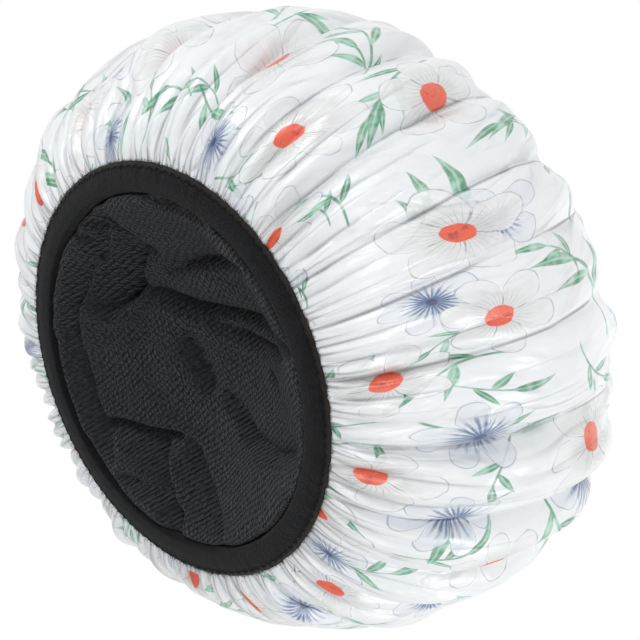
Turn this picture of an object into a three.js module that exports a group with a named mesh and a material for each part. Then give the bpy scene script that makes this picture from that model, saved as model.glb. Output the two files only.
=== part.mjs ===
// Shower cap: a satin shell over a clear film and a slack terry lining, their raw edges
// held in a folded knit hem that carries a flat elastic.
// Millimetres, crown up. The origin is the centre of the hem's flat underside.
import * as THREE from "three";

// Body
const girthWidth = 301;
const girthDepth = 274;
const crownHeight = 162;
const girthHeight = 87;
const mouthRadius = 79;

// Folds of the shell
const foldCount = 26;
const foldDepth = 7;

// Cloth, film and the room between neighbours
const satinThickness = 0.6;
const filmThickness = 0.4;
const terryThickness = 1.1;
const filmInset = 8;
const clearance = 0.35;

// Slack lining
const liningHeight = 56;
const liningFoldCount = 9;
const liningFoldDepth = 4.5;
const pitOffset = 26;

// Folded hem, its elastic and its seams
const bandWall = 0.9;
const restWidth = 2.4;
const seamAllowance = 4;
const elasticWidth = 5;
const elasticThickness = 1.1;
const elasticLap = 12;
const threadDiameter = 0.5;
const topstitchInset = 2.2;
const topstitchReach = 0.9;
const topstitchPitch = 4.5;
const edgeSeamPitch = 5.5;
const lapStitchPitch = 2;

// Angles and counts
const hemConeAngle = THREE.MathUtils.degToRad(15);
const hemStartAngle = THREE.MathUtils.degToRad(50);
const lapBearing = THREE.MathUtils.degToRad(200);
const stepsPerFold = 3;
const segments = foldCount * stepsPerFold;
const threadSides = 4;
const foldRoundSteps = 4;

// Shape shares, chosen by eye
const crownFullnessShare = 0.74;
const footFullnessShare = 0.63;
const valleyShare = -1;
const shoulderShare = 0.35;
const lapStitchWidthShare = 0.3;
const rampTurnShare = 0.06;

// Unevenness of the folds, each a share and how often it swings round the cap. Wander and lean
// are shares of a fold's pitch, and the lean grows from the hem to the crown.
const foldWanderShares = [
  [0.12, 6],
  [0.03, 14],
];
const foldVarietyShares = [
  [0.25, 4],
  [0.2, 10],
];
const foldLeanShares = [
  [0.4, 2],
  [0.05, 6],
];

// Body rings of the shell: angle above the girth in degrees, and the share of the fold's depth there
const shellRingShares = [
  [-40, 0.5],
  [-26, 0.95],
  [-8, 0.9],
  [10, 0.65],
  [24, 0.42],
  [40, 0.22],
  [56, 0.1],
  [74, 0.02],
];
const filmRingDegrees = [-25, 0, 30];

// Rings of the lining: shares of the radius where it leaves the hem, of its rise, and of its folds
const liningRingShares = [
  [1.005, 0.09, 0],
  [0.99, 0.3, 0.35],
  [0.9, 0.56, 0.8],
  [0.71, 0.8, 1],
  [0.43, 0.95, 0.7],
];

// Sizes that follow from the ones above. Inside the fold, u runs outward from the free edge and v up.
const clothStack = satinThickness + filmThickness + terryThickness + 4 * clearance;
const lapStack = 2 * elasticThickness + threadDiameter + 4 * clearance;
const channelHeight = Math.max(clothStack, lapStack);
const bandThickness = channelHeight + 2 * bandWall;
const roundRadius = bandThickness / 2;
const restEnd = roundRadius + restWidth;
const elasticStart = roundRadius;
const edgeSeamPlace = elasticStart + elasticWidth + clearance + threadDiameter / 2;
const clothStart = edgeSeamPlace + threadDiameter / 2 + clearance;
const bandWidth = clothStart + seamAllowance;
const lipRadius = mouthRadius + bandWidth;
const satinLevel = bandWall + clearance + satinThickness / 2;
const filmLevel = satinLevel + satinThickness / 2 + clearance + filmThickness / 2;
const terryLevel = filmLevel + filmThickness / 2 + clearance + terryThickness / 2;
const clothExit = lipRadius + 2 * clearance + terryThickness;

// How far the coned part of the hem has risen at u.
function coneRise(u) {
  return Math.max(0, u - restEnd) * Math.tan(hemConeAngle);
}

// A point of the hem at a bearing, from its place u, v in the section.
function hemPoint(bearing, u, v) {
  const radius = mouthRadius + u;
  return new THREE.Vector3(
    radius * Math.cos(bearing),
    radius * Math.sin(bearing),
    v + coneRise(u),
  );
}

// A closed skin through loops of points. A loop of one point is a pole, and an end loop of
// several points is capped. In a folded skin the second half of the loops runs back along the
// first, and its quads are split along the same diagonals, so that a thin wall keeps its thickness.
function skin(loops, folded = false) {
  const points = loops.flat();
  const starts = [];
  let count = 0;
  for (const loop of loops) {
    starts.push(count);
    count += loop.length;
  }
  const faces = [];
  for (let i = 0; i + 1 < loops.length; i++) {
    const near = loops[i].length;
    const far = loops[i + 1].length;
    const sides = Math.max(near, far);
    for (let j = 0; j < sides; j++) {
      const k = (j + 1) % sides;
      const a = starts[i] + (near > 1 ? j : 0);
      const b = starts[i] + (near > 1 ? k : 0);
      const c = starts[i + 1] + (far > 1 ? j : 0);
      const d = starts[i + 1] + (far > 1 ? k : 0);
      const back = folded && 2 * i >= loops.length;
      if (near > 1) faces.push([a, b, back ? d : c]);
      if (far > 1) faces.push([back ? a : b, d, c]);
    }
  }
  const last = loops.length - 1;
  for (let j = 1; j + 1 < loops[0].length; j++) faces.push([starts[0], starts[0] + j + 1, starts[0] + j]);
  for (let j = 1; j + 1 < loops[last].length; j++) faces.push([starts[last], starts[last] + j, starts[last] + j + 1]);
  let volume = 0;
  for (const [a, b, c] of faces) volume += points[a].dot(points[b].clone().cross(points[c]));
  const geometry = new THREE.BufferGeometry().setFromPoints(points);
  geometry.setIndex(faces.flatMap(([a, b, c]) => (volume > 0 ? [a, b, c] : [a, c, b])));
  geometry.computeVertexNormals();
  return geometry;
}

// A sheet of cloth of the given thickness, from the rings of its middle surface, hem to pole.
function clothSkin(rings, thickness) {
  const normalAt = (i, j) => {
    const ring = rings[i];
    const count = ring.length;
    if (count === 1) return new THREE.Vector3(0, 0, 1);
    const along = ring[(j + 1) % count].clone().sub(ring[(j + count - 1) % count]);
    const after = rings[i + 1];
    const before = rings[Math.max(0, i - 1)];
    const up = (after.length > 1 ? after[j] : after[0]).clone().sub(before[j]);
    return along.cross(up).normalize();
  };
  const outer = rings.map((ring, i) => ring.map((p, j) => p.clone().addScaledVector(normalAt(i, j), thickness / 2)));
  const inner = rings.map((ring, i) => ring.map((p, j) => p.clone().addScaledVector(normalAt(i, j), -thickness / 2)));
  return skin([...outer.reverse(), ...inner], true);
}

// The sum of some swings round the cap, at a step. All are alike on opposite sides.
function swing(shares, j) {
  return shares.reduce((sum, [share, turns]) => sum + share * Math.sin((2 * Math.PI * turns * j) / segments), 0);
}

// Bearing of each step round the cap: an even spacing, and the folds' wander.
const foldPitch = (2 * Math.PI) / foldCount;
const bearings = Array.from({ length: segments }, (_, j) => {
  return (2 * Math.PI * j) / segments + foldPitch * swing(foldWanderShares, j);
});

// Bearing of a step at an angle above the girth, where the folds have leaned over.
function leaningBearing(j, angle) {
  const climbed = (angle + hemStartAngle) / (Math.PI / 2 + hemStartAngle);
  return bearings[j] + foldPitch * climbed * swing(foldLeanShares, j);
}

// Share of the fold's depth at a step: a valley, then two shoulders.
function foldShare(j) {
  return (1 + swing(foldVarietyShares, j)) * (j % stepsPerFold === 0 ? valleyShare : shoulderShare);
}

// A point of the body on a bearing, at an angle above the girth, for a sheet that leaves the
// hem at exitHeight and lies inset inside the shell.
function bodyPoint(bearing, angle, exitHeight, inset, fold) {
  const mean = (girthWidth + girthDepth) / 4;
  const oval = ((girthWidth - girthDepth) / 4) * Math.cos(2 * bearing);
  const girth = mean + oval - inset;
  const crown = crownHeight - inset - girthHeight;
  let radius;
  let height;
  if (angle < 0) {
    const out = ((Math.cos(angle) - Math.cos(hemStartAngle)) / (1 - Math.cos(hemStartAngle))) ** footFullnessShare;
    const up = 1 - Math.sin(-angle) / Math.sin(hemStartAngle);
    radius = clothExit + (girth - clothExit) * out;
    height = exitHeight + (girthHeight - exitHeight) * up;
  } else {
    radius = girth * Math.cos(angle) ** crownFullnessShare;
    height = girthHeight + crown * Math.sin(angle) ** crownFullnessShare;
  }
  radius += fold * Math.cos(angle);
  height += fold * Math.sin(angle);
  return new THREE.Vector3(radius * Math.cos(bearing), radius * Math.sin(bearing), height);
}

// The two rings of a sheet inside and just outside the hem, at its level in the stack.
function hemRings(level, exitRadius) {
  return [clothStart, exitRadius - mouthRadius].map((u) => bearings.map((b) => hemPoint(b, u, level)));
}

function makeShell() {
  const exitHeight = satinLevel + coneRise(clothExit - mouthRadius);
  const body = shellRingShares.map(([degrees, share]) => {
    const angle = THREE.MathUtils.degToRad(degrees);
    return bearings.map((_, j) =>
      bodyPoint(leaningBearing(j, angle), angle, exitHeight, 0, foldDepth * share * foldShare(j)),
    );
  });
  const pole = [new THREE.Vector3(0, 0, crownHeight - satinThickness / 2)];
  return clothSkin([...hemRings(satinLevel, clothExit), ...body, pole], satinThickness);
}

function makeFilm() {
  const exitHeight = filmLevel + coneRise(clothExit - mouthRadius);
  const inset = filmInset + foldDepth;
  const body = filmRingDegrees.map((degrees) =>
    bearings.map((b) => bodyPoint(b, THREE.MathUtils.degToRad(degrees), exitHeight, inset, 0)),
  );
  const pole = [new THREE.Vector3(0, 0, crownHeight - inset)];
  return clothSkin([...hemRings(filmLevel, clothExit), ...body, pole], filmThickness);
}

function makeLining() {
  const exitRadius = lipRadius + clearance + terryThickness / 2;
  const exitHeight = terryLevel + coneRise(exitRadius - mouthRadius);
  const rise = liningHeight - exitHeight;
  const body = liningRingShares.map(([outShare, upShare, share]) =>
    bearings.map((b) => {
      const lean = (Math.PI / 2) * upShare;
      const fold = liningFoldDepth * share * Math.cos(liningFoldCount * b + Math.PI * upShare);
      const radius = exitRadius * outShare + fold * Math.cos(lean);
      return new THREE.Vector3(
        radius * Math.cos(b) - pitOffset * upShare ** 2,
        radius * Math.sin(b),
        exitHeight + rise * upShare + fold * Math.sin(lean),
      );
    }),
  );
  const pole = [new THREE.Vector3(-pitOffset, 0, liningHeight)];
  return clothSkin([...hemRings(terryLevel, exitRadius), ...body, pole], terryThickness);
}

// The binding's section: a U on its side, round at the free edge, open outward, with a flat
// underside at the fold and coned lips.
function makeHemBand() {
  const arc = (radius, from, to) =>
    Array.from({ length: foldRoundSteps + 1 }, (_, i) => {
      const a = from + ((to - from) * i) / foldRoundSteps;
      return [roundRadius + radius * Math.cos(a), roundRadius + radius * Math.sin(a)];
    });
  const ceiling = bandThickness - bandWall;
  const section = [
    ...arc(roundRadius, -Math.PI / 2, (-3 * Math.PI) / 2),
    [restEnd, bandThickness],
    [bandWidth, bandThickness],
    [bandWidth, ceiling],
    [restEnd, ceiling],
    ...arc(channelHeight / 2, (-3 * Math.PI) / 2, -Math.PI / 2),
    [restEnd, bandWall],
    [bandWidth, bandWall],
    [bandWidth, 0],
    [restEnd, 0],
  ];
  const loops = bearings.map((b) => section.map(([u, v]) => hemPoint(b, u, v)));
  return ringSkin(loops);
}

// A closed skin through loops that come back to the first one.
function ringSkin(loops) {
  const sides = loops[0].length;
  const points = loops.flat();
  const index = [];
  for (let i = 0; i < loops.length; i++) {
    const near = i * sides;
    const far = ((i + 1) % loops.length) * sides;
    for (let j = 0; j < sides; j++) {
      const k = (j + 1) % sides;
      index.push(near + j, near + k, far + j, near + k, far + k, far + j);
    }
  }
  const geometry = new THREE.BufferGeometry().setFromPoints(points);
  geometry.setIndex(index);
  geometry.computeVertexNormals();
  return geometry;
}

// The elastic is one strip that runs once round the fold and climbs over its own start.
function makeElastic() {
  const middle = mouthRadius + elasticStart + elasticWidth / 2;
  const lapTurn = elasticLap / middle / (2 * Math.PI);
  const floor = bandWall + clearance;
  const climb = elasticThickness + clearance;
  const steps = segments + stepsPerFold;
  const loops = Array.from({ length: steps + 1 }, (_, i) => {
    const turn = ((1 + lapTurn) * i) / steps;
    const ramp = THREE.MathUtils.smoothstep(turn, 1 - rampTurnShare, 1);
    const bearing = lapBearing + 2 * Math.PI * turn;
    const bottom = floor + climb * ramp;
    return [
      hemPoint(bearing, elasticStart, bottom),
      hemPoint(bearing, elasticStart + elasticWidth, bottom),
      hemPoint(bearing, elasticStart + elasticWidth, bottom + elasticThickness),
      hemPoint(bearing, elasticStart, bottom + elasticThickness),
    ];
  });
  return skin(loops);
}

// A run of zigzag thread in the hem, between two places in its section.
class ZigzagRun extends THREE.Curve {
  constructor(from, turn, waves, low, high) {
    super();
    Object.assign(this, { from, turn, waves, low, high });
    this.arcLengthDivisions = waves * 8;
  }
  getPoint(t, target = new THREE.Vector3()) {
    const phase = (t * this.waves) % 1;
    const share = 1 - Math.abs(2 * phase - 1);
    const [u, v] = this.low.map((value, i) => value + (this.high[i] - value) * share);
    return target.copy(hemPoint(this.from + 2 * Math.PI * this.turn * t, u, v));
  }
}

function makeThread(run) {
  const section = new THREE.Shape(
    Array.from({ length: threadSides }, (_, i) => {
      const a = (2 * Math.PI * i) / threadSides;
      return new THREE.Vector2(Math.cos(a), Math.sin(a)).multiplyScalar(threadDiameter / 2);
    }),
  );
  return new THREE.ExtrudeGeometry(section, { steps: run.waves * 2, extrudePath: run, bevelEnabled: false });
}

function makeTopstitch() {
  const place = bandWidth - topstitchInset;
  const level = -clearance - threadDiameter / 2;
  const radius = mouthRadius + place;
  const waves = Math.round((2 * Math.PI * radius) / topstitchPitch);
  const turn = 1 - (2 * threadDiameter + clearance) / (2 * Math.PI * radius);
  return makeThread(
    new ZigzagRun(0, turn, waves, [place - topstitchReach, level], [place + topstitchReach, level]),
  );
}

function makeEdgeSeam() {
  const radius = mouthRadius + edgeSeamPlace;
  const waves = Math.round((2 * Math.PI * radius) / edgeSeamPitch);
  const turn = 1 - (2 * threadDiameter + clearance) / (2 * Math.PI * radius);
  const top = terryLevel + terryThickness / 2 - threadDiameter / 2;
  return makeThread(new ZigzagRun(0, turn, waves, [edgeSeamPlace, satinLevel], [edgeSeamPlace, top]));
}

function makeLapStitches() {
  const place = elasticStart + elasticWidth / 2;
  const radius = mouthRadius + place;
  const level = bandWall + 3 * clearance + 2 * elasticThickness + threadDiameter / 2;
  const reach = elasticWidth * lapStitchWidthShare;
  const waves = Math.round(elasticLap / lapStitchPitch);
  const turn = elasticLap / radius / (2 * Math.PI);
  return makeThread(new ZigzagRun(lapBearing, turn, waves, [place - reach, level], [place + reach, level]));
}

function piece(name, geometry, color, roughness, opacity = 1) {
  const material = new THREE.MeshStandardMaterial({
    color,
    roughness,
    metalness: 0,
    opacity,
    transparent: opacity < 1,
  });
  const mesh = new THREE.Mesh(geometry, material);
  mesh.name = name;
  return mesh;
}

const cap = new THREE.Group();
cap.name = "shower_cap";

const body = new THREE.Group();
body.add(
  piece("outer_shell", makeShell(), 0xe8ecee, 0.32),
  piece("waterproof_film", makeFilm(), 0xdfe7ea, 0.2, 0.35),
  piece("lining", makeLining(), 0x222427, 0.95),
);

const hem = new THREE.Group();
hem.add(
  piece("hem_band", makeHemBand(), 0x1a1b1e, 0.8),
  piece("elastic", makeElastic(), 0x141516, 0.7),
  piece("lap_stitches", makeLapStitches(), 0x101012, 0.6),
  piece("edge_seam_thread", makeEdgeSeam(), 0x16171a, 0.6),
  piece("hem_topstitch", makeTopstitch(), 0x101113, 0.6),
);

cap.add(body, hem);

export default cap;
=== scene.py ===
"""Shower cap: a puffy printed satin cap gathered into a black knit hem, with a slack ribbed terry lining."""

import math
from functools import reduce

import bpy
import numpy as np
from bpy.props import FloatProperty, FloatVectorProperty, IntProperty, PointerProperty
from mathutils import Matrix, Vector


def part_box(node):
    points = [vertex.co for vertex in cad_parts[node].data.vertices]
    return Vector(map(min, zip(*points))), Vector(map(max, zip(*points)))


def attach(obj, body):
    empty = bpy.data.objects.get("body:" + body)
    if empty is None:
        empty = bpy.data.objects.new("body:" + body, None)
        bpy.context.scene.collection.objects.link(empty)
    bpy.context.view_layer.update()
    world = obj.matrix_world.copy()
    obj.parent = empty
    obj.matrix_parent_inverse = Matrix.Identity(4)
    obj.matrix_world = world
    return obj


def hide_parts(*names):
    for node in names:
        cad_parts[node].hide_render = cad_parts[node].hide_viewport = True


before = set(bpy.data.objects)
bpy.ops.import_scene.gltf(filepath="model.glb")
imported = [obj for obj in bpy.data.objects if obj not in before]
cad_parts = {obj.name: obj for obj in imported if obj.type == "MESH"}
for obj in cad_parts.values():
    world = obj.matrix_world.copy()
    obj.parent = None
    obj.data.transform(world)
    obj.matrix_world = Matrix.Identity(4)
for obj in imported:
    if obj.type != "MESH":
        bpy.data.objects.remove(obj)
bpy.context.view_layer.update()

bl_info = {
    "name": "Shower Cap",
    "version": (1, 0, 0),
    "blender": (4, 5, 0),
    "location": "3D View > Sidebar > Shower Cap",
    "description": "Builds a gathered satin shower cap round its packed frame",
    "category": "Object",
}

CROWN_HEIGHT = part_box("outer_shell")[1].z
FILM_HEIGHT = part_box("waterproof_film")[1].z
HEM_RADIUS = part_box("hem_band")[1].x
HEM_WIDTH = 0.01315
MOUTH_RADIUS = HEM_RADIUS - HEM_WIDTH
# The binding is flat near its free edge. From CONE_START outward it rises as a shallow cone.
CONE_START, CONE_RISE, CONE_CURVE = 0.0052, 0.0021, 1.25
# How far each sheet reaches into the hem's channel, and the margin that it is cut with.
CHANNEL_REACH = 0.004
CUT_MARGIN = 0.001
SEED = 7


# Settings
# --------


def length(name, description, default):
    return FloatProperty(name=name, description=description, default=default, unit="LENGTH")


def ink(name, description, default):
    return FloatVectorProperty(name=name, description=description, default=default, subtype="COLOR", min=0, max=1)


class SHOWERCAP_PG_shell(bpy.types.PropertyGroup):
    width: length("Width", "Mean width of the body across X", 0.301)
    depth: length("Depth", "Mean width of the body across Y", 0.274)
    height: length("Height", "Crown above the surface it stands on", CROWN_HEIGHT)
    girth_height: length("Girth Height", "Height of the widest level", 0.087)
    folds: IntProperty(name="Folds", description="Broad folds round the body, each of three pleats", default=26)
    fold_depth: length("Fold Depth", "Depth of the broad folds", 0.007)
    pleat_depth: length("Pleat Depth", "Depth of the fine pleats at the hem", 0.0052)
    pressure: FloatProperty(
        name="Pressure", description="Air pressure that fills the cloth as it settles", default=16.0, min=0
    )
    satin: ink("Satin", "Colour of the cloth", (0.838, 0.853, 0.862))
    coral: ink("Coral", "Ink of the blossoms' centres", (0.74, 0.070, 0.035))
    blue: ink("Blue", "Ink of the small blossoms", (0.055, 0.125, 0.29))
    green: ink("Green", "Ink of the leaves", (0.018, 0.235, 0.105))
    outline: ink("Outline", "Ink of the petals' outlines", (0.17, 0.165, 0.20))


class SHOWERCAP_PG_lining(bpy.types.PropertyGroup):
    depth: length("Depth", "How far the slack lining stands above the mouth", 0.034)
    rib_turn: FloatProperty(
        name="Rib Turn", description="Bearing of the terry's ribs", default=math.radians(-48), subtype="ANGLE"
    )
    rib_pitch: length("Rib Pitch", "Spacing of the terry's ribs", 0.0024)
    terry: ink("Terry", "Colour of the loops", (0.0220, 0.0235, 0.0285))


class SHOWERCAP_PG_hem(bpy.types.PropertyGroup):
    knit: ink("Knit", "Colour of the binding", (0.0036, 0.0038, 0.0049))
    stitch_pitch: length("Stitch Pitch", "Length of one zigzag of the topstitch", 0.0045)
    fibres: IntProperty(name="Fibres", description="Loose fibres along the binding's outer edge", default=5200)
    fibre_length: length("Fibre Length", "Longest loose fibre", 0.0019)


class SHOWERCAP_PG_stage(bpy.types.PropertyGroup):
    distance: length("Camera Distance", "Camera to the middle of the cap", 0.9)
    lens: FloatProperty(
        name="Lens", description="Focal length for a 36 mm sensor", default=111.26, subtype="DISTANCE_CAMERA"
    )
    floor: ink("Floor", "Colour of the floor", (0.9, 0.9, 0.9))


# Mesh helpers
# ------------


def link(name, data):
    """An object in the scene that holds this data."""
    obj = bpy.data.objects.new(name, data)
    bpy.context.scene.collection.objects.link(obj)
    return obj


def new_mesh(name, points, faces, place_uvs=None, corner_uvs=None, smooth=True):
    """A mesh object at the origin. Its UVs are given for each point, or for each corner of each face in order."""
    mesh = bpy.data.meshes.new(name)
    mesh.from_pydata(np.asarray(points, float).tolist(), [], faces)
    mesh.update()
    if place_uvs is not None:
        corners = np.empty(len(mesh.loops), np.int32)
        mesh.loops.foreach_get("vertex_index", corners)
        corner_uvs = np.asarray(place_uvs)[corners]
    if corner_uvs is not None:
        layer = mesh.uv_layers.new(name="flat_cloth")
        layer.data.foreach_set("uv", np.asarray(corner_uvs, np.float32).ravel())
    if smooth:
        mesh.polygons.foreach_set("use_smooth", [True] * len(mesh.polygons))
    return link(name, mesh)


def add_vectors(obj, name, vectors):
    """Stores a vector for each point, for a material to read."""
    layer = obj.data.attributes.new(name, "FLOAT_VECTOR", "POINT")
    layer.data.foreach_set("vector", np.asarray(vectors, np.float32).ravel())


def mesh_points(obj):
    points = np.empty(3 * len(obj.data.vertices), np.float32)
    obj.data.vertices.foreach_get("co", points)
    return points.reshape(-1, 3).astype(float)


def apply_modifiers(obj):
    """Turns the evaluated object into a plain mesh, and takes its modifiers off."""
    graph = bpy.context.evaluated_depsgraph_get()
    mesh = bpy.data.meshes.new_from_object(obj.evaluated_get(graph), preserve_all_data_layers=True, depsgraph=graph)
    obj.modifiers.clear()
    obj.data = mesh
    return obj


def set_material(obj, material):
    obj.data.materials.clear()
    obj.data.materials.append(material)


# Sheets, as rings of points that close on a pole
# -----------------------------------------------


def bearings(around):
    return np.arange(around) * 2 * math.pi / around


def ring_places(total, shares):
    """Distance of each ring along the cloth: two in the hem's channel, then shares of the way from it to the pole."""
    return np.concatenate([[0, CHANNEL_REACH / 2], CHANNEL_REACH + (total - CHANNEL_REACH) * shares])


def run_length(x, y):
    """Distance along a line of points."""
    return np.concatenate([[0], np.cumsum(np.hypot(np.diff(x), np.diff(y)))])


def close_rings(radius, height, theta, top):
    """The points of rings with these radii and heights, and the pole."""
    height = np.broadcast_to(height, radius.shape)
    rings = np.stack([radius * np.cos(theta), radius * np.sin(theta), height], -1).reshape(-1, 3)
    return np.concatenate([rings, [[0, 0, top]]])


def ring_faces(rings, around):
    """Quads between rings of points, and a fan to the pole, which is the last point."""
    here = np.arange(around)
    there = (here + 1) % around
    faces = []
    for i in range(rings - 1):
        low, high = i * around, (i + 1) * around
        faces += np.stack([low + here, low + there, high + there, high + here], 1).tolist()
    last = (rings - 1) * around
    return faces + np.stack([last + here, last + there, np.full(around, rings * around)], 1).tolist()


def disc_mesh(name, points, flat_radii, around):
    """A mesh of rings whose UVs are each point's place, in metres, on the flat disc that the sheet was cut from."""
    theta = bearings(around)
    flat = np.stack([np.outer(flat_radii, np.cos(theta)), np.outer(flat_radii, np.sin(theta))], -1)
    place_uvs = np.concatenate([flat.reshape(-1, 2), [[0, 0]]])
    return new_mesh(name, points, ring_faces(len(flat_radii), around), place_uvs)


def refine(points, flat_radii, around):
    """Halves the spacing of rings of points, as cubic splines do. Returns the points and each ring's flat radius."""
    pole = points[-1]
    grid = np.asarray(points[:-1]).reshape(len(flat_radii), around, 3)
    before, after = np.roll(grid, 1, 1), np.roll(grid, -1, 1)
    wide = np.stack([(before + 6 * grid + after) / 8, (grid + after) / 2], 2).reshape(len(grid), 2 * around, 3)
    tall = np.empty((2 * len(wide) - 1, 2 * around, 3))
    tall[0::2] = wide
    tall[2:-1:2] = (wide[:-2] + 6 * wide[1:-1] + wide[2:]) / 8
    tall[1::2] = (wide[:-1] + wide[1:]) / 2
    radii = np.empty(len(tall))
    radii[0::2] = flat_radii
    radii[1::2] = (flat_radii[:-1] + flat_radii[1:]) / 2
    return np.concatenate([tall.reshape(-1, 3), [pole]]), radii


def smooth_noise(rng, theta, lowest, terms):
    """A smooth random curve round the cap, of about unit size."""
    total = np.zeros_like(theta)
    for m in range(lowest, lowest + terms):
        total += rng.standard_normal() * np.cos(m * theta + rng.uniform(0, 2 * math.pi))
    return total / math.sqrt(terms / 2)


# Node helpers
# ------------

VECTOR = (0.0, 0.0, 0.0)
SOCKETS = {float: "Float", int: "Int", tuple: "Vector", type(None): "Material"}


def reckoning(operation, vector_operation=None, turned=False):
    """A sign between two values. turned is for a plain number on its left."""

    def reckon(self, other):
        if self.wide:
            return self.net.vector(vector_operation or operation, self, other)
        return self.net.math(operation, *((other, self) if turned else (self, other)))

    return reckon


class Value:
    """A node's output that can be reckoned with. Each step places a Math node, or Vector Math for a vector."""

    def __init__(self, net, socket):
        self.net, self.socket = net, socket
        self.wide = socket.type in {"VECTOR", "RGBA"}

    __add__ = reckoning("ADD")
    __sub__ = reckoning("SUBTRACT")
    __mul__ = reckoning("MULTIPLY", "SCALE")
    __truediv__ = reckoning("DIVIDE")
    __pow__ = reckoning("POWER")
    __rsub__ = reckoning("SUBTRACT", turned=True)
    __rtruediv__ = reckoning("DIVIDE", turned=True)

    def __abs__(self):
        return self.net.math("ABSOLUTE", self)


class Net:
    """Short ways to place shader or geometry nodes and join them."""

    def __init__(self, tree):
        self.tree = tree
        self.count = 0

    def node(self, kind, inputs=None, **settings):
        """Places a node, with its settings and the inputs to fill."""
        node = self.tree.nodes.new(kind)
        node.location = (220 * (self.count % 12), -260 * (self.count // 12))
        self.count += 1
        for key, value in settings.items():
            setattr(node, key, value)
        return self.fill(node, **(inputs or {}))

    def out(self, kind, output=0, inputs=None, **settings):
        """Places a node and gives one of its outputs."""
        return Value(self, self.node(kind, inputs, **settings).outputs[output])

    def put(self, socket, value):
        """Joins a value to a socket, or sets it. A colour is given as red, green and blue."""
        value = value.socket if isinstance(value, Value) else value
        if isinstance(value, bpy.types.NodeSocket):
            self.tree.links.new(value, socket)
        elif value is not None:
            socket.default_value = (*value, 1.0) if socket.type == "RGBA" else value

    def put_all(self, sockets, *values):
        for socket, value in zip(sockets, values):
            self.put(socket, value)

    def fill(self, node, **values):
        """Sets or joins a node's inputs by name, written in lower case with underscores."""
        sockets = {socket.name.lower().replace(" ", "_"): socket for socket in reversed(node.inputs)}
        for name, value in values.items():
            self.put(sockets[name], value)
        return node

    def math(self, operation, *values, clamp=False):
        node = self.node("ShaderNodeMath", operation=operation, use_clamp=clamp)
        self.put_all(node.inputs, *values)
        return Value(self, node.outputs[0])

    def sine(self, value):
        return self.math("SINE", value)

    def cosine(self, value):
        return self.math("COSINE", value)

    def most(self, *values):
        """The largest of some values."""
        return reduce(lambda a, b: self.math("MAXIMUM", a, b), values)

    def vector(self, operation, a, b=None):
        node = self.node("ShaderNodeVectorMath", operation=operation)
        self.put(node.inputs[0], a)
        self.put(node.inputs["Scale" if operation == "SCALE" else 1], b)
        return Value(self, node.outputs["Value" if operation == "LENGTH" else "Vector"])

    def ramp(self, value, low, high, smooth=True, to_low=0.0, to_high=1.0):
        node = self.node("ShaderNodeMapRange", interpolation_type="SMOOTHSTEP" if smooth else "LINEAR")
        self.put_all(node.inputs, value, low, high, to_low, to_high)
        return Value(self, node.outputs[0])

    def split(self, vector, kind="ShaderNodeSeparateXYZ"):
        node = self.node(kind)
        self.put(node.inputs[0], vector)
        return [Value(self, socket) for socket in node.outputs]

    def join(self, x, y, z=0.0):
        return self.out("ShaderNodeCombineXYZ", inputs=dict(x=x, y=y, z=z))

    def mix(self, share, a, b, blend="MIX"):
        node = self.node("ShaderNodeMix", data_type="RGBA", blend_type=blend, clamp_factor=True)
        self.put_all((node.inputs[0], node.inputs[6], node.inputs[7]), share, a, b)
        return Value(self, node.outputs[2])

    def noise(self, vector, scale, detail=2.0, roughness=0.5, dimensions="3D", output="Fac"):
        inputs = dict(vector=vector, scale=scale, detail=detail, roughness=roughness)
        return self.out("ShaderNodeTexNoise", output, inputs, noise_dimensions=dimensions)

    def wander(self, vector, scale, detail, dimensions="2D"):
        """A smooth random vector that swings about zero."""
        return self.noise(vector, scale, detail, dimensions=dimensions, output="Color") - (0.5, 0.5, 0.5)

    def turn(self, vector, angle):
        """The vector turned about Z."""
        return self.out("ShaderNodeVectorRotate", 0, dict(vector=vector, angle=angle), rotation_type="Z_AXIS")

    def bump(self, height, distance, strength, normal=None):
        inputs = dict(height=height, distance=distance, strength=strength, normal=normal)
        return self.out("ShaderNodeBump", 0, inputs)

    def blend(self, share, a, b):
        """One shader fading into another."""
        node = self.node("ShaderNodeMixShader")
        self.put_all(node.inputs, share, a, b)
        return node.outputs[0]

    def group(self, tree, **values):
        """Places a node group and gives its outputs in order, or its one output."""
        outputs = [Value(self, socket) for socket in self.node("ShaderNodeGroup", values, node_tree=tree).outputs]
        return outputs if len(outputs) > 1 else outputs[0]

    def flat_cloth(self):
        """A place on the flat cloth, in metres."""
        return self.out("ShaderNodeUVMap", uv_map="flat_cloth")

    def place(self):
        """A place on the object, in metres."""
        return self.out("ShaderNodeTexCoord", "Object")

    def attribute(self, name):
        return self.split(self.out("ShaderNodeAttribute", "Vector", attribute_type="GEOMETRY", attribute_name=name))


def new_tree(name, inputs, outputs, tree_type="ShaderNodeTree"):
    """A node tree with named inputs at their default values, and named outputs with their kinds. Returns it with a
    Net to fill it, its inputs as values and its output node."""
    tree = bpy.data.node_groups.new(name, tree_type)
    for label, default in inputs.items():
        kind = SOCKETS[type(default)]
        socket = tree.interface.new_socket(name=label, in_out="INPUT", socket_type=f"NodeSocket{kind}")
        if default is not None:
            socket.default_value = default
    for label, kind in outputs.items():
        tree.interface.new_socket(name=label, in_out="OUTPUT", socket_type=f"NodeSocket{kind}")
    net = Net(tree)
    given = {socket.name: Value(net, socket) for socket in net.node("NodeGroupInput").outputs if socket.name}
    return tree, net, given, net.node("NodeGroupOutput")


def new_material(name):
    """A material, its Net and its Principled shader, joined to the output."""
    material = bpy.data.materials.new(name)
    material.use_nodes = True
    material.node_tree.nodes.clear()
    net = Net(material.node_tree)
    shader = net.node("ShaderNodeBsdfPrincipled")
    net.node("ShaderNodeOutputMaterial", dict(surface=shader.outputs[0]))
    return material, net, shader


def shared(name):
    """Finds the node group of this name, which the decorated function makes where the file has none."""

    def wrap(make):
        return lambda: bpy.data.node_groups.get(name) or make(name)

    return wrap


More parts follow.
